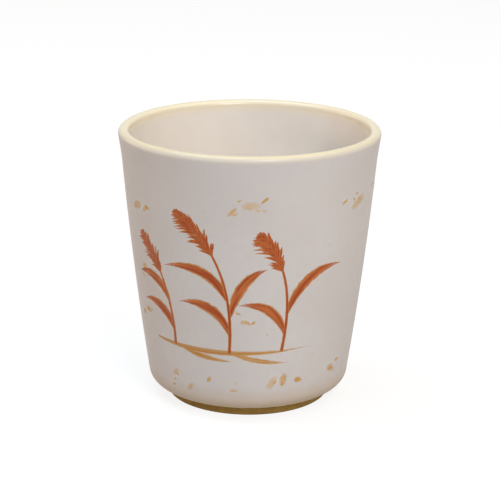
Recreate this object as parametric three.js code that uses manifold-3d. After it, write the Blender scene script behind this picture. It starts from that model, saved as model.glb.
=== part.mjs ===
// Handleless tea cup in glazed stoneware: a tapering wall with a rounded heel and a lip that turns
// out a little, on a low ring of bare brown clay. The coats of glaze and the enamel picture are
// solids of their own. Millimetres, +Z up, origin in the middle of the face that the cup stands on.
import Module from "manifold-3d";
import * as THREE from "three";
import { mergeVertices } from "three/addons/utils/BufferGeometryUtils.js";

// Overall form, measured on the glazed outside
const CUP_HEIGHT = 87;
const RIM_DIAMETER = 82.5;
const BASE_DIAMETER = 62.8; // the wall's, carried on down to the underside
const WALL_SWELL = 0.6; // how far the wall stands out past a straight cone at half height
const HEEL_RADIUS = 5;

// Lip
const LIP_THICKNESS = 3.3;
const LIP_FLARE = 1.2; // how far the rim reaches out past the top of the wall
const FLARE_DROP = 10.8; // from the rim down to where the wall starts to turn out
const LIP_LEAN = THREE.MathUtils.degToRad(8);
const LIP_SEAM = THREE.MathUtils.degToRad(24); // where the glazes meet, above the widest point

// Inside
const WALL_THICKNESS = 4.2; // at the floor, thinning to the lip's thickness at the top of the wall
const FLOOR_THICKNESS = 4.2;
const INNER_HEEL_RADIUS = 9;

// Foot ring
const FOOT_HEIGHT = 3.3;
const FOOT_INSET = 5.65; // from the wall's base diameter in to the outer face of the foot
const FOOT_WIDTH = 3.4; // of the ring at the table
const FOOT_TAPER = 0.9; // how much wider the ring is where it joins the body
const FOOT_ROUND = 0.5;

// Coats
const GLAZE_THICKNESS = 0.3;
const BOND_GAP = 0.05; // between a coat or ring and the clay that it is fused to
const SEAM_GAP = 0.1; // between two coats that meet edge to edge

// Enamel picture of reeds in shallow water: its place on the wall and the strokes of the brush
const PICTURE_ABOVE_TABLE = 23;
const PICTURE_BELOW_RIM = 18.5;
const PICTURE_TURN = THREE.MathUtils.degToRad(-4); // from the front, which faces -Y
const ENAMEL_THICKNESS = 0.2;
const ENAMEL_LIFT = 0.16; // clearance over the glaze, which the flat facets need
const CROSSING_MARGIN = 0.05; // how much further in and out a stroke reaches that takes in others
const LEAF_WIDTH = 3.8;
const STEM_WIDTH = 1.3; // at the root, thinning to the stem's tip
const STEM_TIP_WIDTH = 0.9;
const PLUME_START = 0.6; // share of the stem below its plume
const BARB_PAIRS = 5; // in a plume
const BARB_LENGTH = 6.8; // of the lowest pair
const BARB_WIDTH = 1.2;
const BARB_SPREAD = THREE.MathUtils.degToRad(30); // from the stem
const BARB_DROOP = 0.2; // share of its length by which a barb's tip hangs down
const RIPPLE_WIDTH = 2;
const STROKE_ROOT = 0.12; // share of the brush's swell with which a stroke starts
const STROKE_POINT = 0.2; // width of the brush's last touch

// Facets
const TURN_FACETS = 48;
const HEEL_FACETS = 5;
const WALL_FACETS = 4;
const FLARE_FACETS = 3;
const FOOT_ROUND_FACETS = 2;
const STROKE_FACET_LENGTH = 3;
const JOIN_TOLERANCE = 0.005; // finer steps close up where strokes are joined

const rimRadius = RIM_DIAMETER / 2;
const baseRadius = BASE_DIAMETER / 2;
const footRadius = baseRadius - FOOT_INSET;
const neckRadius = rimRadius - LIP_FLARE;
const neckHeight = CUP_HEIGHT - FLARE_DROP;
const floorHeight = FOOT_HEIGHT + FLOOR_THICKNESS;
const coatDepth = GLAZE_THICKNESS + BOND_GAP;
const undersideHeight = FOOT_HEIGHT + coatDepth;

// Profiles are points of radius and height

function outerRadius(height) {
  const share = (height - FOOT_HEIGHT) / (neckHeight - FOOT_HEIGHT);
  const cone = THREE.MathUtils.lerp(baseRadius, neckRadius, share);
  return cone + 4 * WALL_SWELL * share * (1 - share);
}

function innerRadius(height) {
  const share = (height - floorHeight) / (neckHeight - floorHeight);
  return outerRadius(height) - THREE.MathUtils.lerp(WALL_THICKNESS, LIP_THICKNESS, share);
}

// Direction in which a wall rises at a height
function wallDirection(radiusAt, height) {
  const step = 0.5;
  const rise = new THREE.Vector2(radiusAt(height + step) - radiusAt(height - step), 2 * step);
  return rise.normalize();
}

// Round between a level floor and the wall that rises from it, from the floor up
function heelPoints(radiusAt, floor, wantedRadius, widestReach) {
  const wallAngle = wallDirection(radiusAt, floor).angle();
  const reachPerRadius = Math.tan(wallAngle / 2);
  const radius = Math.min(wantedRadius, widestReach / reachPerRadius);
  const centre = new THREE.Vector2(radiusAt(floor) - radius * reachPerRadius, floor + radius);
  const quarter = Math.PI / 2;
  const arc = new THREE.ArcCurve(centre.x, centre.y, radius, -quarter, wallAngle - quarter, false);
  return arc.getPoints(HEEL_FACETS);
}

// Wall between two heights, without its first point
function wallPoints(radiusAt, from, to) {
  return Array.from({ length: WALL_FACETS }, (_, i) => {
    const height = THREE.MathUtils.lerp(from, to, (i + 1) / WALL_FACETS);
    return new THREE.Vector2(radiusAt(height), height);
  });
}

// Smooth curve that leaves one point and reaches another in given directions, without its first point
function flarePoints(start, startDirection, end, endDirection) {
  const pull = start.distanceTo(end) / 3;
  const leave = start.clone().addScaledVector(startDirection, pull);
  const arrive = end.clone().addScaledVector(endDirection, -pull);
  return new THREE.CubicBezierCurve(start, leave, arrive, end).getPoints(FLARE_FACETS).slice(1);
}

// The half-round lip stands square to the wall, which leans out there. Its stations take in the
// widest and the highest point of the cup.
const lipRadius = LIP_THICKNESS / 2;
const lipCentre = new THREE.Vector2(rimRadius - lipRadius, CUP_HEIGHT - lipRadius);
const lipUp = new THREE.Vector2(Math.sin(LIP_LEAN), Math.cos(LIP_LEAN));

function lipPoints(angles) {
  return angles.map((angle) =>
    new THREE.Vector2(Math.cos(angle), Math.sin(angle)).multiplyScalar(lipRadius).add(lipCentre));
}

const eighth = Math.PI / 4;
const outerLip = lipPoints([-LIP_LEAN, 0, LIP_SEAM]);
const innerLip = lipPoints([eighth, 2 * eighth, 3 * eighth, Math.PI - LIP_LEAN]);

const outerHeel = heelPoints(outerRadius, FOOT_HEIGHT, HEEL_RADIUS, FOOT_INSET - 2 * SEAM_GAP);
const outerWall = wallPoints(outerRadius, outerHeel.at(-1).y, neckHeight);
const outerFlare = flarePoints(
  outerWall.at(-1), wallDirection(outerRadius, neckHeight), outerLip[0], lipUp,
);
const innerHeel = heelPoints(
  innerRadius, floorHeight, INNER_HEEL_RADIUS, innerRadius(floorHeight) - SEAM_GAP,
);
const innerNeck = new THREE.Vector2(innerRadius(neckHeight), neckHeight);
const innerFlare = flarePoints(
  innerLip.at(-1), lipUp.clone().negate(),
  innerNeck, wallDirection(innerRadius, neckHeight).negate(),
);
const innerWall = wallPoints(innerRadius, neckHeight, innerHeel.at(-1).y);

// The glazed surface from the foot, up the outside, over the lip and down the inside to the axis.
// The two glazes meet at its last point on the outside.
const outside = [
  new THREE.Vector2(footRadius + SEAM_GAP, FOOT_HEIGHT),
  ...outerHeel, ...outerWall, ...outerFlare, ...outerLip.slice(1),
];
const inside = [
  ...innerLip, ...innerFlare, ...innerWall,
  ...innerHeel.slice(0, -1).reverse(), new THREE.Vector2(0, floorHeight),
];
const skin = [...outside, ...inside];

// The glazed surface moved into the clay, which lies on the left of its direction
function skinAtDepth(depth) {
  return skin.map((point, i) => {
    const before = skin[Math.max(i - 1, 0)];
    const after = skin[Math.min(i + 1, skin.length - 1)];
    const along = after.clone().sub(before).normalize();
    return new THREE.Vector2(point.x - depth * along.y, point.y + depth * along.x);
  });
}

// A profile with its last point drawn back by a gap
function drawnBack(profile, gap) {
  const end = profile.at(-1);
  const back = profile.at(-2).clone().sub(end).setLength(gap);
  return [...profile.slice(0, -1), end.clone().add(back)];
}

function turned(profile) {
  return new THREE.LatheGeometry(profile, TURN_FACETS).rotateX(Math.PI / 2);
}

function clayBody() {
  return turned([new THREE.Vector2(0, undersideHeight), ...skinAtDepth(coatDepth)]);
}

function outerGlaze() {
  const face = drawnBack(outside, SEAM_GAP);
  const back = drawnBack(skinAtDepth(GLAZE_THICKNESS).slice(0, outside.length), SEAM_GAP);
  return turned([...face, ...back.reverse(), face[0]]);
}

function linerGlaze() {
  const seam = outside.length - 1;
  const back = skinAtDepth(GLAZE_THICKNESS).slice(seam);
  return turned([...back.reverse(), ...skin.slice(seam)]);
}

const footTop = undersideHeight - BOND_GAP;
const footInnerRadius = footRadius - FOOT_WIDTH;

function footRing() {
  const quarter = Math.PI / 2;
  const outerRound = new THREE.ArcCurve(
    footRadius - FOOT_ROUND, FOOT_ROUND, FOOT_ROUND, -quarter, 0, false,
  ).getPoints(FOOT_ROUND_FACETS);
  const innerRound = new THREE.ArcCurve(
    footInnerRadius + FOOT_ROUND, FOOT_ROUND, FOOT_ROUND, -2 * quarter, -quarter, false,
  ).getPoints(FOOT_ROUND_FACETS);
  const top = [
    new THREE.Vector2(footRadius, footTop),
    new THREE.Vector2(footInnerRadius - FOOT_TAPER, footTop),
  ];
  return turned([...innerRound, ...outerRound, ...top, innerRound[0]]);
}

function baseGlaze() {
  const radius = footInnerRadius - FOOT_TAPER - SEAM_GAP;
  const face = footTop - GLAZE_THICKNESS;
  return turned([
    new THREE.Vector2(0, face),
    new THREE.Vector2(radius, face),
    new THREE.Vector2(radius, footTop),
    new THREE.Vector2(0, footTop),
  ]);
}

// Reeds that lean in the wind, drawn flat on a sheet one unit high: each stroke leaves its root,
// leans towards its bend and ends at its tip. A leaf is drawn from the point of the stem where it grows.
const REEDS = [
  {
    root: [-0.52, 0.02], bend: [-0.5, 0.5], tip: [-0.78, 0.78],
    leaves: [
      { share: 0.12, bend: [-0.08, 0.21], tip: [-0.32, 0.15] },
      { share: 0.36, bend: [-0.09, 0.21], tip: [-0.34, 0.13] },
    ],
  },
  {
    root: [-0.08, 0.01], bend: [-0.02, 0.72], tip: [-0.44, 1],
    leaves: [
      { share: 0.1, bend: [-0.1, 0.27], tip: [-0.38, 0.2] },
      { share: 0.3, bend: [-0.12, 0.29], tip: [-0.48, 0.19] },
      { share: 0.2, bend: [0.08, 0.31], tip: [0.26, 0.35] },
    ],
  },
  {
    root: [0.3, 0.02], bend: [0.4, 0.6], tip: [0.12, 0.88],
    leaves: [
      { share: 0.12, bend: [-0.09, 0.25], tip: [-0.33, 0.21] },
      { share: 0.26, bend: [0.11, 0.33], tip: [0.42, 0.3] },
    ],
  },
];
const WATER = {
  root: [-0.72, 0.03], bend: [-0.15, -0.01], tip: [0.52, 0.035],
  ripples: [
    { share: 0.22, bend: [0.16, -0.06], tip: [0.42, -0.07] },
    { share: 0.55, bend: [0.16, -0.065], tip: [0.42, -0.08] },
  ],
};

const pictureHeight = CUP_HEIGHT - PICTURE_BELOW_RIM - PICTURE_ABOVE_TABLE;
const girthRadius = outerRadius(PICTURE_ABOVE_TABLE + pictureHeight / 2);

// Line of a stroke on the flat sheet, in millimetres, from a point that its own points are drawn from
function strokeLine({ root, bend, tip }, from = new THREE.Vector2()) {
  const onSheet = ([x, y]) => new THREE.Vector2(x, y).multiplyScalar(pictureHeight).add(from);
  return new THREE.QuadraticBezierCurve(onSheet(root), onSheet(bend), onSheet(tip));
}

// Radius of the faceted outside at a height on the wall
function facetRadius(height) {
  const next = outside.findIndex((point) => point.y > height);
  const low = outside[next - 1];
  const high = outside[next];
  return THREE.MathUtils.mapLinear(height, low.y, high.y, low.x, high.x);
}

// Place over the wall of a point of the flat sheet, whose x runs round the cup and y up the wall
function overWall(point, lift) {
  const turn = PICTURE_TURN + point.x / girthRadius;
  const height = PICTURE_ABOVE_TABLE + point.y;
  const radius = facetRadius(height) + lift;
  return new THREE.Vector3(radius * Math.sin(turn), -radius * Math.cos(turn), height);
}

// A brush stroke laid on the wall: a thin strip as wide as the brush is pressed at each share of its
// line. A stroke of a higher rank is thicker on both faces and takes in the strokes that it crosses.
function stroke(line, widthAt, rank = 0) {
  const facets = Math.ceil(line.getLength() / STROKE_FACET_LENGTH);
  const strip = new THREE.BoxGeometry(1, 1, 1, facets, 1, 1);
  const positions = strip.attributes.position;
  const margin = rank * CROSSING_MARGIN;
  for (let i = 0; i < positions.count; i++) {
    const share = positions.getX(i) + 0.5;
    const along = line.getTangent(share);
    const across = positions.getY(i) * widthAt(share);
    const aside = new THREE.Vector2(-along.y, along.x).multiplyScalar(across);
    const outwards = Math.sign(positions.getZ(i));
    const lift = ENAMEL_LIFT + ENAMEL_THICKNESS / 2 + outwards * (ENAMEL_THICKNESS / 2 + margin);
    const place = overWall(line.getPoint(share).add(aside), lift);
    positions.setXYZ(i, place.x, place.y, place.z);
  }
  return strip;
}

// Width of a brush stroke that swells from its root and runs out to a point
function swelling(fullWidth) {
  return (share) => {
    const swell = Math.sin(Math.PI * THREE.MathUtils.lerp(STROKE_ROOT, 1, share));
    return Math.max(fullWidth * swell, STROKE_POINT);
  };
}

function stemWidth(share) {
  return THREE.MathUtils.lerp(STEM_WIDTH, STEM_TIP_WIDTH, share);
}

const wasm = await Module();
wasm.setup();

function solidOf(geometry) {
  geometry.deleteAttribute("normal");
  geometry.deleteAttribute("uv");
  const merged = mergeVertices(geometry);
  return new wasm.Manifold(new wasm.Mesh({
    numProp: 3,
    vertProperties: merged.attributes.position.array,
    triVerts: new Uint32Array(merged.index.array),
  }));
}

function geometryOf(solid) {
  const mesh = solid.getMesh();
  const geometry = new THREE.BufferGeometry();
  geometry.setAttribute("position", new THREE.BufferAttribute(mesh.vertProperties, 3));
  geometry.setIndex(new THREE.BufferAttribute(mesh.triVerts, 1));
  return geometry;
}

// Lines of the strokes that grow from a line, each drawn from its own point there
function offshoots(line, drawn) {
  return drawn.map(({ share, bend, tip }) =>
    strokeLine({ root: [0, 0], bend, tip }, line.getPoint(share)));
}

// Lines of a plume's barbs, which leave the last stretch of a stem in pairs, shorter towards its tip
function barbs(stem) {
  return Array.from({ length: 2 * BARB_PAIRS }, (_, i) => {
    const up = Math.floor(i / 2) / BARB_PAIRS;
    const spread = i % 2 === 0 ? BARB_SPREAD : -BARB_SPREAD;
    const share = THREE.MathUtils.lerp(PLUME_START, 1, up);
    const root = stem.getPoint(share);
    const length = BARB_LENGTH * Math.sqrt(1 - up);
    const reach = stem.getTangent(share).rotateAround(new THREE.Vector2(), spread);
    const tip = root.clone().addScaledVector(reach, length);
    tip.y -= BARB_DROOP * length;
    return new THREE.QuadraticBezierCurve(root, root.clone().addScaledVector(reach, length / 2), tip);
  });
}

// Each stem takes in the roots of its leaves and barbs, and the water line its ripples and the feet of
// the stems
function reedPrint() {
  const stems = REEDS.map((reed) => strokeLine(reed));
  const leaves = REEDS.flatMap((reed, i) => offshoots(stems[i], reed.leaves));
  const water = strokeLine(WATER);
  const ripples = offshoots(water, WATER.ripples);
  const strokes = [
    ...leaves.map((line) => stroke(line, swelling(LEAF_WIDTH))),
    ...stems.flatMap(barbs).map((line) => stroke(line, swelling(BARB_WIDTH))),
    ...ripples.map((line) => stroke(line, swelling(RIPPLE_WIDTH))),
    ...stems.map((line) => stroke(line, stemWidth, 1)),
    stroke(water, swelling(RIPPLE_WIDTH), 2),
  ];
  const joined = strokes.map(solidOf).reduce((all, next) => all.add(next));
  return geometryOf(joined.asOriginal().simplify(JOIN_TOLERANCE));
}

const bodyClay = new THREE.MeshStandardMaterial({ color: 0xd9d0c2, roughness: 0.8 });
const footClay = new THREE.MeshStandardMaterial({ color: 0x7d5c2d, roughness: 0.75 });
const creamGlaze = new THREE.MeshStandardMaterial({ color: 0xede1c6, roughness: 0.25 });
const whiteGlaze = new THREE.MeshStandardMaterial({ color: 0xc8bfbb, roughness: 0.3 });
const rustEnamel = new THREE.MeshStandardMaterial({ color: 0xa54b23, roughness: 0.4 });

const pieces = [
  ["clay_body", clayBody, bodyClay],
  ["foot_ring", footRing, footClay],
  ["liner_glaze", linerGlaze, creamGlaze],
  ["outer_glaze", outerGlaze, whiteGlaze],
  ["base_glaze", baseGlaze, whiteGlaze],
  ["reed_print", reedPrint, rustEnamel],
];

const cup = new THREE.Group();
for (const [name, shape, material] of pieces) {
  const piece = new THREE.Mesh(shape(), material);
  piece.name = name;
  cup.add(piece);
}

export default cup;
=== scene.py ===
# A handleless tea cup in glazed stoneware: cream inside and over the lip, off-white outside, painted
# with reeds in rust enamel and dabs of gold, on a low foot of bare brown clay. In metres.
import itertools
import math
import random

import bmesh
import bpy
from mathutils import Color, Matrix, Vector
from mathutils.geometry import interpolate_bezier


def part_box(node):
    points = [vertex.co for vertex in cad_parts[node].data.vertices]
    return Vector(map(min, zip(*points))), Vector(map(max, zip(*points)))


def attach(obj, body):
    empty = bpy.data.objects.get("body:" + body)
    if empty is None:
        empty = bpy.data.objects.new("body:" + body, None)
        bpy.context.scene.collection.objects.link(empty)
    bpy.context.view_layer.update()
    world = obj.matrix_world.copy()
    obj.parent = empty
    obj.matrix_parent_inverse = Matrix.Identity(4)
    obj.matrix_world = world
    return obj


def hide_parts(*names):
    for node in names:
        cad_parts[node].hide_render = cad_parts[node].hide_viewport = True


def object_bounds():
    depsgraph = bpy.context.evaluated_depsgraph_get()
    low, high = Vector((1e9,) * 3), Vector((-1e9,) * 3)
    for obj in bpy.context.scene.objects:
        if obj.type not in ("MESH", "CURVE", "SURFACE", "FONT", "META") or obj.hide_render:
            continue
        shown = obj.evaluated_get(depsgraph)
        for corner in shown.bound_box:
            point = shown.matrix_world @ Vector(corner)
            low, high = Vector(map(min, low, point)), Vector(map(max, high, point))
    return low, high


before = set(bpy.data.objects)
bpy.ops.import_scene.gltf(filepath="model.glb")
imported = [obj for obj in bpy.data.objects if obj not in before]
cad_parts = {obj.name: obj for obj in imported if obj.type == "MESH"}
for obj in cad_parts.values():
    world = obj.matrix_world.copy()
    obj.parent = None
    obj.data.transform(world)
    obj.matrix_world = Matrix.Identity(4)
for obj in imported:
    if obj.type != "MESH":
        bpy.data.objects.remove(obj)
cad_low, cad_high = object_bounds()


# Clay body: the wall and floor of the cup, thrown in one piece of pale stoneware and turned to a
# profile. The foot ring and the glazes that come after cover it all over.

CUP_HEIGHT = cad_high.z
RIM_RADIUS = cad_high.x
FOOT_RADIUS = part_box("foot_ring")[1].x
FOOT_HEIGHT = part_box("outer_glaze")[0].z
GLAZE_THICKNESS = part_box("base_glaze")[1].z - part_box("base_glaze")[0].z
COAT_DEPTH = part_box("clay_body")[0].z - FOOT_HEIGHT
FLOOR_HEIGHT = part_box("liner_glaze")[0].z + GLAZE_THICKNESS
BASE_RADIUS = 0.0314  # the wall's, carried on down to the underside
WALL_SWELL = 0.0006  # of the outside, half way up
WALL_THICKNESS = 0.0042  # at the floor, thinning to the lip's at the top of the wall
HEEL_RADIUS = 0.005
INNER_HEEL_RADIUS = 0.009
LIP_THICKNESS = 0.0033
LIP_FLARE = 0.0012  # from the top of the wall out to the rim
FLARE_DROP = 0.0108  # from the top of the cup down to the top of the wall
LIP_LEAN = math.radians(8)
LIP_SEAM = math.radians(24)  # above the widest point of the lip, where the two glazes meet
SEAM_GAP = 0.000004  # between the outer glaze and what it meets

NECK_RADIUS = RIM_RADIUS - LIP_FLARE
NECK_HEIGHT = CUP_HEIGHT - FLARE_DROP
ARC_STEPS = 14
WALL_STEPS = 24
TURN_STEPS = 160
MERGE_DISTANCE = 1e-7
SHARP_EDGE = math.radians(40)


def between(first, last, share):
    return first + (last - first) * share


def outer_radius(height):
    share = (height - FOOT_HEIGHT) / (NECK_HEIGHT - FOOT_HEIGHT)
    return between(BASE_RADIUS, NECK_RADIUS, share) + 4 * WALL_SWELL * share * (1 - share)


def inner_radius(height):
    share = (height - FLOOR_HEIGHT) / (NECK_HEIGHT - FLOOR_HEIGHT)
    return outer_radius(height) - between(WALL_THICKNESS, LIP_THICKNESS, share)


def wall_direction(radius_at, height, step=0.0005):
    return Vector((radius_at(height + step) - radius_at(height - step), 2 * step)).normalized()


def wall(radius_at, start, end):
    heights = [between(start, end, i / WALL_STEPS) for i in range(WALL_STEPS + 1)]
    return [Vector((radius_at(height), height)) for height in heights]


def arc(centre, radius, start, end, steps=ARC_STEPS):
    angles = [between(start, end, i / steps) for i in range(steps + 1)]
    return [centre + radius * Vector((math.cos(a), math.sin(a))) for a in angles]


def heel(radius_at, floor, radius):
    """The round between a level floor and the wall that rises from it."""
    rise = wall_direction(radius_at, floor)
    wall_angle = math.atan2(rise.y, rise.x)
    centre = Vector((radius_at(floor) - radius * math.tan(wall_angle / 2), floor + radius))
    return arc(centre, radius, -math.pi / 2, wall_angle - math.pi / 2)


def flare(start, leaving, end, arriving):
    """A curve that leaves one point and arrives at another in given directions."""
    pull = (end - start).length / 3
    return interpolate_bezier(start, start + pull * leaving, end - pull * arriving, end, ARC_STEPS)


lip_radius = LIP_THICKNESS / 2
lip_centre = Vector((RIM_RADIUS - lip_radius, CUP_HEIGHT - lip_radius))
lip_up = Vector((math.sin(LIP_LEAN), math.cos(LIP_LEAN)))
lip_outer = arc(lip_centre, lip_radius, -LIP_LEAN, LIP_SEAM, ARC_STEPS // 2)
lip_inner = arc(lip_centre, lip_radius, LIP_SEAM, math.pi - LIP_LEAN, 2 * ARC_STEPS)

outer_heel = heel(outer_radius, FOOT_HEIGHT, HEEL_RADIUS)
outer_wall = wall(outer_radius, outer_heel[-1].y, NECK_HEIGHT)
outer_flare = flare(outer_wall[-1], wall_direction(outer_radius, NECK_HEIGHT), lip_outer[0], lip_up)
inner_heel = heel(inner_radius, FLOOR_HEIGHT, INNER_HEEL_RADIUS)
inner_wall = wall(inner_radius, NECK_HEIGHT, inner_heel[-1].y)
inner_flare = flare(
    lip_inner[-1], -lip_up, inner_wall[0], -wall_direction(inner_radius, NECK_HEIGHT)
)

# The glazed surface from the foot, up the outside, over the lip and down the inside to the axis
outside = [Vector((FOOT_RADIUS + SEAM_GAP, FOOT_HEIGHT)), *outer_heel]
outside += [*outer_wall[1:], *outer_flare[1:], *lip_outer[1:]]
inside = [*lip_inner[1:], *inner_flare[1:], *inner_wall[1:]]
inside += [*reversed(inner_heel[:-1]), Vector((0, FLOOR_HEIGHT))]
skin = outside + inside


def skin_at_depth(depth):
    """The glazed surface moved into the clay, which lies on the left of its direction."""
    moved = []
    for before, point, after in zip(skin[:1] + skin, skin, skin[1:] + skin[-1:]):
        along = (after - before).normalized()
        moved.append(point + depth * Vector((-along.y, along.x)))
    return moved


def object_of(name, shape):
    """Make a finished shape an object of the scene."""
    mesh = bpy.data.meshes.new(name)
    shape.to_mesh(mesh)
    shape.free()
    made = bpy.data.objects.new(name, mesh)
    bpy.context.scene.collection.objects.link(made)
    return made


def piece_of(name, shape):
    """Close the seams of a shape, face it outwards and make it a piece of the cup."""
    bmesh.ops.remove_doubles(shape, verts=shape.verts, dist=MERGE_DISTANCE)
    bmesh.ops.recalc_face_normals(shape, faces=shape.faces)
    piece = object_of(name, shape)
    piece.data.shade_smooth()
    piece.data.set_sharp_from_angle(angle=SHARP_EDGE)
    return piece


def turned(name, profile):
    """Spin a profile of radius and height round the cup's axis into a smooth closed piece."""
    shape = bmesh.new()
    corners = [shape.verts.new((radius, 0, height)) for radius, height in profile]
    edges = [shape.edges.new(pair) for pair in zip(corners, corners[1:])]
    bmesh.ops.spin(
        shape, geom=corners + edges, axis=(0, 0, 1), cent=(0, 0, 0), dvec=(0, 0, 0),
        steps=TURN_STEPS, angle=2 * math.pi, use_merge=True, use_duplicate=False,
    )
    return piece_of(name, shape)


class Tone:
    """A socket in the node tree of a finish. Arithmetic on it adds Math nodes to the tree."""

    # A Mix node's sockets for colours, which share their names with those for other values
    MIX_FACTOR, MIX_FIRST, MIX_SECOND, MIX_RESULT = 0, 6, 7, 2

    def __init__(self, tree, socket=None):
        self.tree = tree
        self.socket = socket

    def node(self, kind, settings=None, sockets=None, output=0):
        """Add a node: its settings first, then the values or links of its sockets."""
        made = self.tree.nodes.new(kind)
        for name, value in (settings or {}).items():
            setattr(made, name, value)
        for key, value in (sockets or {}).items():
            if isinstance(value, Tone):
                self.tree.links.new(value.socket, made.inputs[key])
            else:
                made.inputs[key].default_value = value
        return Tone(self.tree, made.outputs[output] if made.outputs else None)

    def math(self, operation, other=0.0):
        return self.node("ShaderNodeMath", {"operation": operation}, {0: self, 1: other})

    def __add__(self, other):
        return self.math("ADD", other)

    def __sub__(self, other):
        return self.math("SUBTRACT", other)

    def __rsub__(self, other):
        return self.node("ShaderNodeMath", {"operation": "SUBTRACT"}, {0: other, 1: self})

    def __mul__(self, other):
        return self.math("MULTIPLY", other)

    __radd__ = __add__
    __rmul__ = __mul__

    def ramp(self, start, end):
        """From 0 at one value of this tone to 1 at another, eased at both ends."""
        return self.node(
            "ShaderNodeMapRange", {"interpolation_type": "SMOOTHSTEP"},
            {"Value": self, "From Min": start, "From Max": end},
        )

    def mix(self, first, second):
        """The first colour where this tone is 0 and the second where it is 1."""
        return self.node(
            "ShaderNodeMix", {"data_type": "RGBA"},
            {self.MIX_FACTOR: self, self.MIX_FIRST: first, self.MIX_SECOND: second},
            output=self.MIX_RESULT,
        )

    def part(self, axis):
        """One coordinate of this place."""
        return self.node("ShaderNodeSeparateXYZ", None, {"Vector": self}, output=axis)

    def stretched(self, by):
        """This place with each coordinate multiplied by a number."""
        return self.node("ShaderNodeVectorMath", {"operation": "MULTIPLY"}, {0: self, 1: by})

    def noise(self, scale=1.0, detail=2.0, roughness=0.5):
        """Noise over this place, with a scale in waves to its unit."""
        return self.node(
            "ShaderNodeTexNoise", None,
            {"Vector": self, "Scale": scale, "Detail": detail, "Roughness": roughness},
        )

    def bump(self, strength, depth):
        """A normal that rises with this tone by a depth in metres."""
        return self.node(
            "ShaderNodeBump", None, {"Strength": strength, "Distance": depth, "Height": self}
        )


def new_finish(name):
    finish = bpy.data.materials.new(name)
    finish.use_nodes = True
    finish.node_tree.nodes.clear()
    return finish, Tone(finish.node_tree)


def fire(tone, sockets):
    """Give a finish its surface."""
    surface = tone.node("ShaderNodeBsdfPrincipled", None, sockets)
    tone.node("ShaderNodeOutputMaterial", None, {"Surface": surface})


def paint(red, green, blue):
    """A colour as it is written in sRGB, from 0 to 255, in the linear values that light needs."""
    written = Color((red / 255, green / 255, blue / 255))
    return (*written.from_srgb_to_scene_linear(), 1.0)


CLAY_GREYS = (paint(206, 195, 178), paint(226, 218, 204))
CLAY_GRAIN = 0.0001


def clay_finish():
    finish, tone = new_finish("body_clay")
    where = tone.node("ShaderNodeTexCoord", output="Object")
    grog = where.noise(scale=1400, detail=4, roughness=0.7)
    colour = grog.ramp(0.35, 0.7).mix(*CLAY_GREYS)
    fire(tone, {"Base Color": colour, "Roughness": 0.85, "Normal": grog.bump(0.4, CLAY_GRAIN)})
    return finish


underside_middle = Vector((0, FOOT_HEIGHT + COAT_DEPTH))
clay_body = turned("clay_body_turned", [underside_middle, *skin_at_depth(COAT_DEPTH)])
clay_body.data.materials.append(clay_finish())
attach(clay_body, "root")
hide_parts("clay_body")


# Foot ring: a low ring of brown clay, luted under the body and left bare, that the cup stands on. Its
# outer face is upright, its inner face leans, and the edges at the table are rubbed round.

FOOT_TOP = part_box("foot_ring")[1].z
FOOT_WIDTH = 0.0034  # at the table
FOOT_TAPER = 0.0009  # that its inner face leans in by, up to the top
FOOT_ROUND = 0.0005
FOOT_INNER_RADIUS = FOOT_RADIUS - FOOT_WIDTH
FOOT_BROWNS = (paint(146, 111, 45), paint(164, 129, 57))
FOOT_GROG = paint(112, 78, 32)
FOOT_GRAIN = 0.00012
# A darker brown over the lowest stretch of the foot, at the table
LOW_FOOT_BROWN = paint(112, 80, 40)
LOW_FOOT_HEIGHT = 0.0006  # up from the table
STAIN_OCHRE = paint(172, 138, 84)
STAIN_DROP = 0.0012  # down from the glaze above


def foot_profile():
    outer_centre = Vector((FOOT_RADIUS - FOOT_ROUND, FOOT_ROUND))
    inner_centre = Vector((FOOT_INNER_RADIUS + FOOT_ROUND, FOOT_ROUND))
    inner_round = arc(inner_centre, FOOT_ROUND, -math.pi, -math.pi / 2)
    outer_round = arc(outer_centre, FOOT_ROUND, -math.pi / 2, 0)
    outer_top = Vector((FOOT_RADIUS, FOOT_TOP))
    inner_top = Vector((FOOT_INNER_RADIUS - FOOT_TAPER, FOOT_TOP))
    return [*inner_round, *outer_round, outer_top, inner_top, inner_round[0]]


def foot_finish():
    finish, tone = new_finish("foot_clay")
    where = tone.node("ShaderNodeTexCoord", output="Object")
    height = where.part("Z")
    cloud = where.noise(scale=260, detail=3)
    grog = where.noise(scale=2200, detail=3, roughness=0.7)
    brown = cloud.ramp(0.3, 0.7).mix(*FOOT_BROWNS)
    grained = grog.ramp(0.5, 0.72).mix(brown, FOOT_GROG)
    # Darker brown towards the table
    darker_low = height.ramp(LOW_FOOT_HEIGHT, 0.0).mix(grained, LOW_FOOT_BROWN)
    colour = height.ramp(FOOT_HEIGHT - STAIN_DROP, FOOT_HEIGHT).mix(darker_low, STAIN_OCHRE)
    fire(tone, {"Base Color": colour, "Roughness": 0.75, "Normal": grog.bump(0.5, FOOT_GRAIN)})
    return finish


foot_ring = turned("foot_ring_turned", foot_profile())
foot_ring.data.materials.append(foot_finish())
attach(foot_ring, "root")
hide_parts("foot_ring")


# Liner glaze: the cream coat poured inside and rolled over the lip. It lies a little thinner and
# yellower on the round of the lip and pools in the corner of the floor.

SEAM = len(outside) - 1  # the point of the skin where the two glazes meet
LINER_CREAMS = (paint(226, 217, 208), paint(231, 223, 215))
POOL_CREAM = paint(228, 219, 204)
POOL_DEPTH = 0.006  # up from the floor
LIP_CREAM = paint(233, 220, 194)  # on the inner side of the lip
ROLL_START, ROLL_END = 0.0045, 0.0008  # down from the top of the cup
CREST_CREAM = paint(219, 206, 174)  # on its crest and outer side
CREST_START, CREST_END = 0.0028, 0.0018  # in from the rim
SEAM_WHITE = paint(214, 203, 190)  # where the two glazes run into each other
SEAM_WIDTH = 0.0008  # in from the rim
GLAZE_RIPPLE = 0.00004


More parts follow.
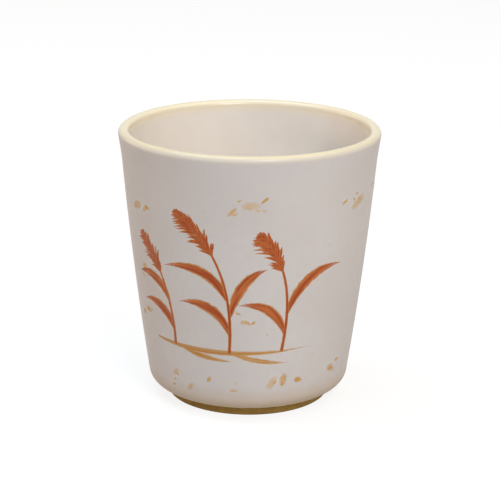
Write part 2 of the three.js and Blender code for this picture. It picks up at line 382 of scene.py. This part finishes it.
def cream_finish():
    finish, tone = new_finish("cream_glaze")
    where = tone.node("ShaderNodeTexCoord", output="Object")
    height = where.part("Z")
    level = where.stretched((1, 1, 0))
    radius = tone.node("ShaderNodeVectorMath", {"operation": "LENGTH"}, {0: level}, output="Value")
    cream = where.noise(scale=55, detail=3).ramp(0.3, 0.7).mix(*LINER_CREAMS)
    pooled = height.ramp(FLOOR_HEIGHT + POOL_DEPTH, FLOOR_HEIGHT).mix(cream, POOL_CREAM)
    crest = radius.ramp(RIM_RADIUS - CREST_START, RIM_RADIUS - CREST_END)
    roll = height.ramp(CUP_HEIGHT - ROLL_START, CUP_HEIGHT - ROLL_END)
    rolled = roll.mix(pooled, crest.mix(LIP_CREAM, CREST_CREAM))
    colour = radius.ramp(RIM_RADIUS - SEAM_WIDTH, RIM_RADIUS).mix(rolled, SEAM_WHITE)
    roughness = 0.3 + 0.08 * where.noise(scale=240) - 0.1 * roll
    fire(tone, {
        "Base Color": colour, "Roughness": roughness, "Specular IOR Level": 0.4,
        "Normal": where.noise(scale=90).bump(0.1, GLAZE_RIPPLE),
    })
    return finish


liner_back = skin_at_depth(GLAZE_THICKNESS)[SEAM:]
liner_glaze = turned("liner_glaze_coat", [*reversed(liner_back), *skin[SEAM:]])
liner_glaze.data.materials.append(cream_finish())
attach(liner_glaze, "root")
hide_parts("liner_glaze")


# Outer glaze: the off-white coat that the cup is dipped in, from the lip down to the foot. Small
# iron specks show through, and its colour turns ochre towards the foot, lighter at its lowest edge.

GLAZE_WHITES = (paint(200, 191, 186), paint(204, 196, 192))
MOTTLE_GREY = paint(196, 187, 184)
IRON_SPECK = paint(158, 144, 124)
BLEND_START, BLEND_END = 0.0026, 0.001  # into the seam, down from the top of the cup
# Colours that the glaze turns to towards the foot, and at its lowest edge
FOOTWARD_OCHRE = paint(184, 150, 98)
FOOTWARD_OCHRE_HEIGHT = 0.009  # up from the foot
LOWEST_OCHRE = paint(216, 184, 120)
LOWEST_OCHRE_HEIGHT = 0.0015  # up from the foot
OCHRE_EDGE_WAVER = 0.0012


def drawn_back(profile, gap):
    """A profile with its last point drawn back by a gap."""
    return [*profile[:-1], profile[-1] + gap * (profile[-2] - profile[-1]).normalized()]


def white_finish():
    finish, tone = new_finish("white_glaze")
    where = tone.node("ShaderNodeTexCoord", output="Object")
    height = where.part("Z")
    mottle = where.noise(scale=420, detail=3)
    white = where.noise(scale=38, detail=4).ramp(0.3, 0.7).mix(*GLAZE_WHITES)
    mottled = (0.3 * mottle.ramp(0.35, 0.75)).mix(white, MOTTLE_GREY)
    cells = tone.node("ShaderNodeTexVoronoi", {"feature": "F1"}, {"Vector": where, "Scale": 210})
    chosen = where.noise(scale=90).ramp(0.56, 0.68)
    specked = (0.4 * chosen * cells.ramp(0.13, 0.04)).mix(mottled, IRON_SPECK)
    blend = height.ramp(CUP_HEIGHT - BLEND_START, CUP_HEIGHT - BLEND_END)
    # The colour turns ochre towards the foot, and a lighter ochre at its lowest edge
    wavering_height = height + OCHRE_EDGE_WAVER * (where.noise(scale=160) - 0.5)
    ochre_share = 0.55 * wavering_height.ramp(FOOT_HEIGHT + FOOTWARD_OCHRE_HEIGHT, FOOT_HEIGHT)
    ochred = ochre_share.mix(blend.mix(specked, SEAM_WHITE), FOOTWARD_OCHRE)
    lowest_share = 0.8 * wavering_height.ramp(FOOT_HEIGHT + LOWEST_OCHRE_HEIGHT, FOOT_HEIGHT)
    fire(tone, {
        "Base Color": lowest_share.mix(ochred, LOWEST_OCHRE),
        "Roughness": 0.5 + 0.1 * mottle, "Specular IOR Level": 0.2,
        "Normal": where.noise(scale=90).bump(0.1, GLAZE_RIPPLE),
    })
    return finish


white_glaze = white_finish()
outer_face = drawn_back(outside, SEAM_GAP)
outer_back = drawn_back(skin_at_depth(GLAZE_THICKNESS)[: SEAM + 1], SEAM_GAP)
outer_glaze = turned("outer_glaze_coat", [*outer_face, *reversed(outer_back), outer_face[0]])
outer_glaze.data.materials.append(white_glaze)
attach(outer_glaze, "root")
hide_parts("outer_glaze")


# Base glaze: a round of the same off-white coat in the recess inside the foot ring. It is brushed on
# the underside of the body after the dip, so that only the ring stays bare.

BASE_COAT_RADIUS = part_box("base_glaze")[1].x
BASE_COAT_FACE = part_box("base_glaze")[0].z
BASE_COAT_ROUND = 0.0001

base_corner = Vector((BASE_COAT_RADIUS - BASE_COAT_ROUND, BASE_COAT_FACE + BASE_COAT_ROUND))
base_glaze = turned("base_glaze_coat", [
    Vector((0, BASE_COAT_FACE)), *arc(base_corner, BASE_COAT_ROUND, -math.pi / 2, 0, steps=4),
    Vector((BASE_COAT_RADIUS, FOOT_TOP)), Vector((0, FOOT_TOP)),
])
base_glaze.data.materials.append(white_glaze)
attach(base_glaze, "root")
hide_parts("base_glaze")


# Reed print: reeds that lean in the wind over shallow water, brushed on the wall in rust enamel and
# fired. Each stroke is full at its root, streaked by the hairs of the brush, soft at its edges and
# runs dry at its tip. The water is laid in with a thin ochre wash.

PICTURE_FOOT = 0.023  # above the table
PICTURE_DROP = 0.0185  # from the top of the cup
PICTURE_HEIGHT = CUP_HEIGHT - PICTURE_DROP - PICTURE_FOOT
PICTURE_TURN = math.radians(-4)  # round the cup, to the left of the front
GIRTH_RADIUS = outer_radius(PICTURE_FOOT + PICTURE_HEIGHT / 2)
WATER_LAYER, LEAF_LAYER, STEM_LAYER, PLUME_LAYER = 1, 2, 3, 4
ENAMEL_LIFT = 0.00002  # of each layer over the one below
ENAMEL_DOME = 0.00002  # of the middle of a stroke over its edges
FILM_THICKNESS = 0.000005
ROW_PITCH = 2  # from the row of one stroke to the next on the UV map
SEED = 11  # of the draws for plumes and flecks

LEAF_WIDTH = 0.0038
RIPPLE_WIDTH = 0.002
STROKE_ROOT = 0.12  # share of a stroke's swell that is left out at its root
STROKE_POINT = 0.0001
STEM_WIDTH = 0.0013
STEM_TIP = 0.45  # share of its width that is left at its tip
PLUME_START, PLUME_END = 0.6, 0.985  # shares of the stem
PLUME_SWELL = (0.22, 0.97)  # shares of the arch that its outline follows
PLUME_FULLNESS = 0.7  # power that the arch is raised to
PLUME_FLORETS = 30  # on each side
FLORET_LENGTH = 0.0068
FLORET_LENGTHS = (0.75, 1.1)  # in shares of that
FLORET_WIDTH = 0.001
FLORET_WIDTHS = (0.7, 1.15)  # in shares of that
FLORET_SPREADS = (14, 38)  # in degrees from the stem
FLORET_BEND = 0.55  # share of its length where it bends
FLORET_DROOP = 0.3  # share of its length that its tip hangs down by

# The drawing, in shares of its height. A line has a root, a bend and a tip, and what grows from it
# has the share of the line where it starts, and its own bend and tip as seen from there.
REEDS = [
    {
        "stem": [(-0.52, 0.02), (-0.5, 0.5), (-0.78, 0.78)],
        "leaves": [
            (0.12, (-0.08, 0.21), (-0.32, 0.15)),
            (0.36, (-0.09, 0.21), (-0.34, 0.13)),
        ],
    },
    {
        "stem": [(-0.08, 0.01), (-0.02, 0.72), (-0.44, 1.0)],
        "leaves": [
            (0.1, (-0.1, 0.27), (-0.38, 0.2)),
            (0.3, (-0.12, 0.29), (-0.48, 0.19)),
            (0.2, (0.08, 0.31), (0.26, 0.35)),
        ],
    },
    {
        "stem": [(0.3, 0.02), (0.4, 0.6), (0.12, 0.88)],
        "leaves": [
            (0.12, (-0.09, 0.25), (-0.33, 0.21)),
            (0.26, (0.11, 0.33), (0.42, 0.3)),
        ],
    },
]
WATER = {
    "line": [(-0.72, 0.03), (-0.15, -0.01), (0.52, 0.035)],
    "ripples": [
        (0.22, (0.16, -0.06), (0.42, -0.07)),
        (0.55, (0.16, -0.065), (0.42, -0.08)),
    ],
}


def on_sheet(points, start=Vector((0, 0))):
    """Points of the drawing in metres on the flat sheet."""
    return [start + PICTURE_HEIGHT * Vector(point) for point in points]


def line_at(line, share):
    """Place and direction on a line that leaves its root towards its bend and ends at its tip."""
    root, bend, tip = line
    place = (1 - share) ** 2 * root + 2 * share * (1 - share) * bend + share ** 2 * tip
    return place, ((1 - share) * (bend - root) + share * (tip - bend)).normalized()


def offshoots(line, drawn):
    """Lines of the strokes that grow from a line."""
    starts = [(line_at(line, share)[0], bend, tip) for share, bend, tip in drawn]
    return [on_sheet([(0, 0), bend, tip], start) for start, bend, tip in starts]


def over_wall(place, lift):
    """A point of the flat sheet, whose x runs round the cup and y up the wall, over the glaze."""
    turn = PICTURE_TURN + place.x / GIRTH_RADIUS
    height = PICTURE_FOOT + place.y
    radius = outer_radius(height) + lift
    return Vector((radius * math.sin(turn), -radius * math.cos(turn), height))


def swelling(full_width):
    """Width of a stroke that swells from its root and runs out to a point."""
    def width(share):
        return max(full_width * math.sin(math.pi * between(STROKE_ROOT, 1, share)), STROKE_POINT)
    return width


def stem_width(share):
    return STEM_WIDTH * between(1, STEM_TIP, share)


stroke_numbers = itertools.count()


def brush(shape, line, width_at, stations, lanes, layer):
    """Lay a stroke on the wall: a grid along its line, domed across, in a layer over other strokes.
    Its UV map has the share of its length and, in a row of its own, the share of its width."""
    uv = shape.loops.layers.uv.verify()
    row = ROW_PITCH * next(stroke_numbers)
    grid = bmesh.ops.create_grid(shape, x_segments=stations, y_segments=lanes, size=0.5)
    faces = {face for vert in grid["verts"] for face in vert.link_faces}
    for face in faces:
        for loop in face.loops:
            loop[uv].uv = (loop.vert.co.x + 0.5, loop.vert.co.y + 0.5 + row)
    for vert in grid["verts"]:
        share, across = vert.co.x + 0.5, vert.co.y
        place, along = line_at(line, share)
        aside = across * width_at(share) * Vector((-along.y, along.x))
        lift = layer * ENAMEL_LIFT + ENAMEL_DOME * (1 - 4 * across ** 2) ** 2
        vert.co = over_wall(place + aside, lift)


def plume(shape, stem, draw):
    """Brush the florets of a plume on both sides of the last stretch of a stem."""
    for i in range(PLUME_FLORETS):
        share = i / (PLUME_FLORETS - 1)
        layer = PLUME_LAYER + i / PLUME_FLORETS
        place, along = line_at(stem, between(PLUME_START, PLUME_END, share))
        fullness = math.sin(math.pi * between(*PLUME_SWELL, share)) ** PLUME_FULLNESS
        for side in (-1, 1):
            length = FLORET_LENGTH * fullness * draw.uniform(*FLORET_LENGTHS)
            spread = side * math.radians(draw.uniform(*FLORET_SPREADS))
            reach = length * (Matrix.Rotation(spread, 2) @ along)
            droop = Vector((0, -FLORET_DROOP * length))
            line = [place, place + FLORET_BEND * reach, place + reach + droop]
            width = FLORET_WIDTH * draw.uniform(*FLORET_WIDTHS)
            brush(shape, line, swelling(width), stations=7, lanes=3, layer=layer)


STREAKS = (1.6, 3.4, 1.0)  # waves along and across a stroke
HAIRS = (4.0, 15.0, 1.0)
BRUSH_RELIEF = 0.00003


def film(cover):
    """Alpha of a film whose two faces together cover a share of what lies under them."""
    return 1 - (1 - cover).math("SQRT")


def enamel_finish(name, full, thin, edge):
    finish, tone = new_finish(name)
    where = tone.node("ShaderNodeTexCoord", output="Object")
    stroke = tone.node("ShaderNodeUVMap")
    length = stroke.part("X")
    aside = 2 * stroke.part("Y").math("FRACT") - 1
    streaks = stroke.stretched(STREAKS).noise()
    hairs = stroke.stretched(HAIRS).noise(detail=3, roughness=0.65)
    drying = length.ramp(0.3, 1.0) * hairs.ramp(0.35, 0.65)
    body = (0.7 * streaks.ramp(0.36, 0.66) + 0.5 * drying).mix(full, thin)
    waver = 0.5 * (where.noise(scale=600, detail=3) - 0.5)
    inside_edge = 1 - aside.math("ABSOLUTE") + waver
    gaps = length.ramp(0.75, 1.0) * hairs.ramp(0.6, 0.42)
    fire(tone, {
        "Base Color": inside_edge.ramp(0.5, 0.1).mix(body, edge),
        "Roughness": 0.45, "Specular IOR Level": 0.2,
        "Alpha": film(inside_edge.ramp(-0.05, 0.3) * (1 - 0.65 * gaps)),
        "Normal": hairs.bump(0.2, BRUSH_RELIEF),
    })
    return finish


def painted_piece(name, shape, finish):
    """A film of paint that lies in the glaze, so that it neither shades it nor takes its light."""
    bmesh.ops.solidify(shape, geom=shape.faces[:], thickness=FILM_THICKNESS)
    piece = piece_of(name, shape)
    piece.data.materials.append(finish)
    piece.visible_shadow = False
    piece.visible_diffuse = False
    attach(piece, "root")
    return piece


strokes = bmesh.new()
florets = bmesh.new()
ripples = bmesh.new()
draw = random.Random(SEED)
for reed in REEDS:
    stem = on_sheet(reed["stem"])
    for leaf in offshoots(stem, reed["leaves"]):
        brush(strokes, leaf, swelling(LEAF_WIDTH), stations=36, lanes=10, layer=LEAF_LAYER)
    brush(strokes, stem, stem_width, stations=48, lanes=4, layer=STEM_LAYER)
    plume(florets, stem, draw)
water = on_sheet(WATER["line"])
brush(ripples, water, swelling(RIPPLE_WIDTH), stations=60, lanes=6, layer=WATER_LAYER)
for ripple in offshoots(water, WATER["ripples"]):
    brush(ripples, ripple, swelling(RIPPLE_WIDTH), stations=36, lanes=6, layer=WATER_LAYER)

rust = enamel_finish(
    "rust_enamel", full=paint(152, 62, 26), thin=paint(194, 112, 56), edge=paint(190, 142, 84)
)
ochre = enamel_finish(
    "ochre_wash", full=paint(178, 118, 60), thin=paint(196, 156, 104), edge=paint(196, 166, 124)
)
for name, shape, finish in (
    ("reed_strokes", strokes, rust),
    ("reed_plumes", florets, rust),
    ("water_strokes", ripples, ochre),
):
    painted = painted_piece(name, shape, finish)
    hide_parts("reed_print")


# Gold flecks: dabs of thin gold wash in two loose bands round the cup, under the lip and over the
# heel, with a few between. They are brushed on the glaze, soft at their edges, and soak into it.

# Height over the table, reach up and down, and number of clusters of each band
FLECK_BANDS = [(0.0705, 0.0045, 12), (0.042, 0.012, 6), (0.0135, 0.003, 14)]
FLECKS_IN_CLUSTER = (2, 5)
CLUSTER_REACH = (0.006, 0.0024)  # round the cup and up the wall
FLECK_LENGTHS = (0.0014, 0.004)
FLECK_WIDTHS = (0.35, 0.65)  # in shares of the length
FLECK_TILT, TILT_SPREAD = 0.25, 0.35  # in radians
FLECK_LAYER = 0.5  # under the strokes
BIG_FLECK = 2.2  # times the length of the others
BIG_FLECK_CHANCE = 0.5
GOLDS = (paint(204, 162, 84), paint(194, 142, 62))


def fleck_cluster(shape, place, draw):
    """Brush a few dabs near a place of the sheet, the first of them at times a big one."""
    for i in range(draw.randint(*FLECKS_IN_CLUSTER)):
        size = BIG_FLECK if i == 0 and draw.random() < BIG_FLECK_CHANCE else 1.0
        length = size * draw.uniform(*FLECK_LENGTHS)
        width = length * draw.uniform(*FLECK_WIDTHS)
        tilt = draw.gauss(FLECK_TILT, TILT_SPREAD)
        half = length / 2 * Vector((math.cos(tilt), math.sin(tilt)))
        spot = place + Vector([reach * draw.uniform(-1, 1) for reach in CLUSTER_REACH])
        line = [spot - half, spot, spot + half]
        brush(shape, line, lambda share: width, stations=8, lanes=6, layer=FLECK_LAYER)


def gold_finish():
    finish, tone = new_finish("gold_wash")
    where = tone.node("ShaderNodeTexCoord", output="Object")
    dab = tone.node("ShaderNodeUVMap")
    along = 2 * dab.part("X") - 1
    row = dab.part("Y")
    aside = 2 * row.math("FRACT") - 1
    number = (1 / ROW_PITCH * row).math("FLOOR")
    chance = tone.node("ShaderNodeTexWhiteNoise", {"noise_dimensions": "1D"}, {"W": number})
    waver = 0.7 * (where.noise(scale=700, detail=3) - 0.5)
    inside_edge = 1 - (along * along + aside * aside).math("SQRT") + waver
    fire(tone, {
        "Base Color": chance.mix(*GOLDS), "Roughness": 0.45, "Specular IOR Level": 0.2,
        "Alpha": film(inside_edge.ramp(0.0, 0.55) * (0.4 + 0.58 * chance)),
    })
    return finish


dabs = bmesh.new()
girth = 2 * math.pi * GIRTH_RADIUS
for band_height, band_spread, clusters in FLECK_BANDS:
    for i in range(clusters):
        height = band_height + band_spread * draw.uniform(-1, 1)
        centre = Vector((girth * (i + draw.random()) / clusters, height - PICTURE_FOOT))
        fleck_cluster(dabs, centre, draw)
painted_piece("gold_flecks", dabs, gold_finish())


# Floor, light and camera: a white table top and backdrop, a tall lamp at the front right, a warm one
# on the left, a warm and a cool one overhead, and a long lens a little above the rim.

FLOOR_HALF = 3.0  # of its side
FLOOR_GREY = paint(215, 215, 215)  # for the light that it throws on the cup
SHADOW_GREY = paint(120, 120, 120)  # to the eye, on top of the glow
FLOOR_GLOW = 0.84
WHITE = (1, 1, 1, 1)
SKY = (1.0, 0.97, 0.93, 1.0)
SKY_STRENGTH = 0.22
RAYS_TO_THE_EYE = ("Is Camera Ray", "Is Glossy Ray", "Is Transmission Ray")


def shown(tone):
    """1 where the eye sees a surface, by itself or in another one, and 0 where it only gives light."""
    seen, mirrored, through = [
        tone.node("ShaderNodeLightPath", output=ray) for ray in RAYS_TO_THE_EYE
    ]
    return seen.math("MAXIMUM", mirrored).math("MAXIMUM", through)


def floor_finish():
    """White to the eye and in reflections, with the cup's shadow a little darker."""
    finish, tone = new_finish("floor_white")
    shaded = tone.node("ShaderNodeBsdfDiffuse", None, {"Color": SHADOW_GREY})
    glow = tone.node("ShaderNodeEmission", None, {"Color": WHITE, "Strength": FLOOR_GLOW})
    bright = tone.node("ShaderNodeAddShader", None, {0: shaded, 1: glow})
    plain = tone.node("ShaderNodeBsdfDiffuse", None, {"Color": FLOOR_GREY})
    table_top = tone.node("ShaderNodeMixShader", None, {0: shown(tone), 1: plain, 2: bright})
    tone.node("ShaderNodeOutputMaterial", None, {"Surface": table_top})
    return finish


floor_shape = bmesh.new()
bmesh.ops.create_grid(floor_shape, x_segments=1, y_segments=1, size=FLOOR_HALF)
floor = object_of("floor", floor_shape)
floor.data.materials.append(floor_finish())


def light_studio():
    """A white backdrop all round that lights the cup with a weak even sky."""
    world = bpy.data.worlds.new("studio")
    world.use_nodes = True
    world.node_tree.nodes.clear()
    tone = Tone(world.node_tree)
    sky = tone.node("ShaderNodeBackground", None, {"Color": SKY, "Strength": SKY_STRENGTH})
    backdrop = tone.node("ShaderNodeBackground", None, {"Color": WHITE, "Strength": 1.0})
    studio = tone.node("ShaderNodeMixShader", None, {0: shown(tone), 1: sky, 2: backdrop})
    tone.node("ShaderNodeOutputWorld", None, {"Surface": studio})
    bpy.context.scene.world = world


light_studio()

AIM = Vector((0, 0, 0.0464))  # of the lamps and the camera


def lamp(name, place, width, height, power, colour):
    """A rectangular lamp that faces the cup."""
    light = bpy.data.lights.new(name, "AREA")
    light.shape = "RECTANGLE"
    light.size = width
    light.size_y = height
    light.energy = power
    light.color = colour
    holder = bpy.data.objects.new(name, light)
    holder.location = place
    holder.rotation_euler = (AIM - Vector(place)).to_track_quat("-Z", "Y").to_euler()
    bpy.context.scene.collection.objects.link(holder)


lamp("key", (0.44, -1.22, 0.9), width=0.5, height=0.9, power=13.8, colour=(0.95, 0.965, 1.0))
lamp("fill", (-1.15, 0.35, 0.34), width=0.9, height=0.24, power=3.7, colour=(1.0, 0.6, 0.23))
lamp("warm_top", (0.6, -0.1, 1.3), width=1.0, height=1.0, power=6.2, colour=(1.0, 0.8, 0.46))
lamp("cool_top", (-0.38, 0.05, 1.35), width=0.5, height=1.0, power=10.6, colour=(0.62, 0.81, 1.0))

CAMERA_DISTANCE = 0.6
CAMERA_ELEVATION = math.radians(16.82)
CAMERA_ROLL = math.radians(0.43)
FOCAL_LENGTH = 135.03  # in millimetres
AXIS_SHIFT = 0.0023  # sideways, in shares of the picture's width

camera = bpy.data.objects.new("camera", bpy.data.cameras.new("camera"))
camera.data.lens = FOCAL_LENGTH
camera.data.shift_x = AXIS_SHIFT
back = Vector((0, -math.cos(CAMERA_ELEVATION), math.sin(CAMERA_ELEVATION)))
camera.location = AIM + CAMERA_DISTANCE * back
camera.rotation_euler = (-back).to_track_quat("-Z", "Y").to_euler()
camera.rotation_euler.rotate_axis("Z", CAMERA_ROLL)
bpy.context.scene.collection.objects.link(camera)
bpy.context.scene.camera = camera
bpy.context.scene.view_settings.view_transform = "Standard"
